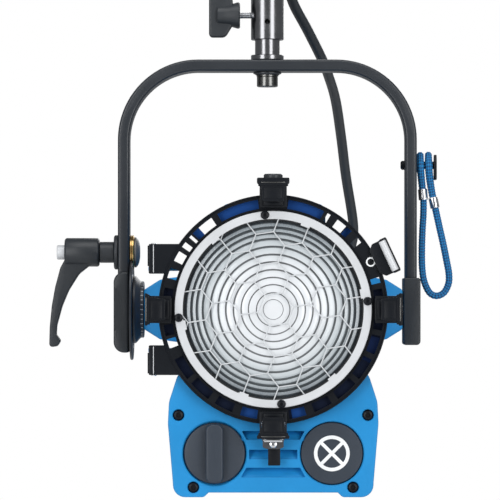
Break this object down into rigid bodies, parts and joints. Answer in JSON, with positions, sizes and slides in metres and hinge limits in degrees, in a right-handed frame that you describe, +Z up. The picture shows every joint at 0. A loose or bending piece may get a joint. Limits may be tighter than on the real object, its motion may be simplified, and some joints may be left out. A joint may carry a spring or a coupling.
{
  "type": "fresnel spotlight",
  "caption": "Studio fresnel spotlight hanging in a U-shaped yoke from a stud receptacle, with a hinged lens door, focus knob, tilt lock, safety cord and power cable.",
  "frame": {"origin": "centre of the mouth of the stud receptacle, where the lamp is hung", "axes": "+Z up along the stud, -Y the way the lamp shines, X across the yoke along the tilt axis"},
  "size_m": [0.307, 0.3379, 0.469],
  "materials": {
    "black_paint": "satin black powder coat",
    "black_plastic": "moulded, fine grain",
    "blue_paint": "semi-gloss blue paint on a casting",
    "dark_grey_plastic": "moulded, fine grain",
    "chrome": "polished plating",
    "steel": "satin",
    "silver": "fine satin",
    "mirror": "polished reflector",
    "brass": "turned",
    "lens_glass": "pressed glass with polished steps",
    "ceramic": "unglazed ceramic",
    "rubber": "matt",
    "rope": "braided cord"
  },
  "bodies": {
    "yoke": {"yoke": "black_paint", "yoke_cap_left": "black_plastic", "yoke_cap_right": "black_plastic", "stud_receptacle": "chrome", "receptacle_washer": "steel", "receptacle_nut": "steel", "clamp_bolt": "steel", "brake_pad": "brass", "clamp_washer": "steel", "clamp_bush": "black_plastic", "clamp_end_nut": "chrome", "pivot_bolt_left": "steel", "pivot_bolt_right": "steel", "safety_hook": "steel", "safety_hook_screw": "steel", "safety_cord": "rope", "ferrule_inner": "chrome", "ferrule_outer": "chrome", "cable_loop": "rubber", "cable_coil": "rubber", "cable_run": "rubber", "plug": "rubber"},
    "t_knob": {"t_knob": "black_plastic", "t_knob_screw": "chrome"},
    "tilt_lock_lever": {"tilt_lock_lever": "black_plastic"},
    "head": {"barrel_casting": "blue_paint", "base_housing": "blue_paint", "front_panel": "blue_paint", "badge_disc": "dark_grey_plastic", "guide_rod_left": "steel", "guide_rod_right": "steel", "rear_cover": "blue_paint", "rear_panel": "blue_paint", "cable_gland": "black_plastic", "cable_tail": "rubber", "top_vent_cover": "black_paint", "brake_disc": "black_paint", "scale_disc": "silver", "hinge_pin_upper": "steel", "hinge_pin_lower": "steel", "latch_bracket": "black_paint"},
    "focus_knob": {"focus_knob": "dark_grey_plastic", "focus_leadscrew": "steel"},
    "lamp_carriage": {"lamp_carriage": "steel", "lamp_holder": "ceramic", "lamp": "lens_glass", "reflector": "mirror"},
    "lens_door": {"door_ring": "black_paint", "fresnel_lens": "lens_glass", "lens_retaining_ring": "silver", "wire_guard": "steel", "bracket_right": "black_paint", "bracket_top": "black_paint", "bracket_left": "black_paint", "bracket_bottom": "black_paint", "spring_clip": "chrome", "clip_strap": "black_paint"},
    "top_catch": {"top_catch": "black_plastic"},
    "latch_arm": {"latch_arm": "chrome"}
  },
  "joints": [
    {"name": "tilt", "type": "hinge", "parent": "yoke", "child": "head", "pos_m": [0.00445, 0, -0.25], "axis": [1, 0, 0], "range_deg": [-90, 90]},
    {"name": "t_knob_turn", "type": "hinge", "parent": "yoke", "child": "t_knob", "pos_m": [-0.03, 0, -0.0257], "axis": [1, 0, 0], "continuous": true},
    {"name": "tilt_lock", "type": "hinge", "parent": "yoke", "child": "tilt_lock_lever", "pos_m": [-0.141, 0, -0.2064], "axis": [-1, 0, 0], "range_deg": [0, 170]},
    {"name": "focus_turn", "type": "hinge", "parent": "head", "child": "focus_knob", "pos_m": [-0.03875, -0.1, -0.356], "axis": [0, 1, 0], "range_deg": [-450, 450]},
    {"name": "lamp_travel", "type": "slide", "parent": "head", "child": "lamp_carriage", "axis": [0, 1, 0], "range_m": [-0.0302, 0.0302]},
    {"name": "lens_door_swing", "type": "hinge", "parent": "head", "child": "lens_door", "pos_m": [-0.08355, -0.0995, -0.25], "axis": [0, 0, -1], "range_deg": [0, 110]},
    {"name": "top_catch_lift", "type": "slide", "parent": "lens_door", "child": "top_catch", "axis": [0, 0, 1], "range_m": [0, 0.005], "stiffness_N_per_m": 300},
    {"name": "latch_release", "type": "hinge", "parent": "head", "child": "latch_arm", "pos_m": [0.0901, -0.093, -0.21006], "axis": [-0.4226, 0, 0.9063], "range_deg": [0, 40], "stiffness_Nm_per_rad": 0.05}
  ],
  "couplings": [
    {"joint": "lamp_travel", "follows": "focus_turn", "m_per_rad": 0.00382}
  ]
}
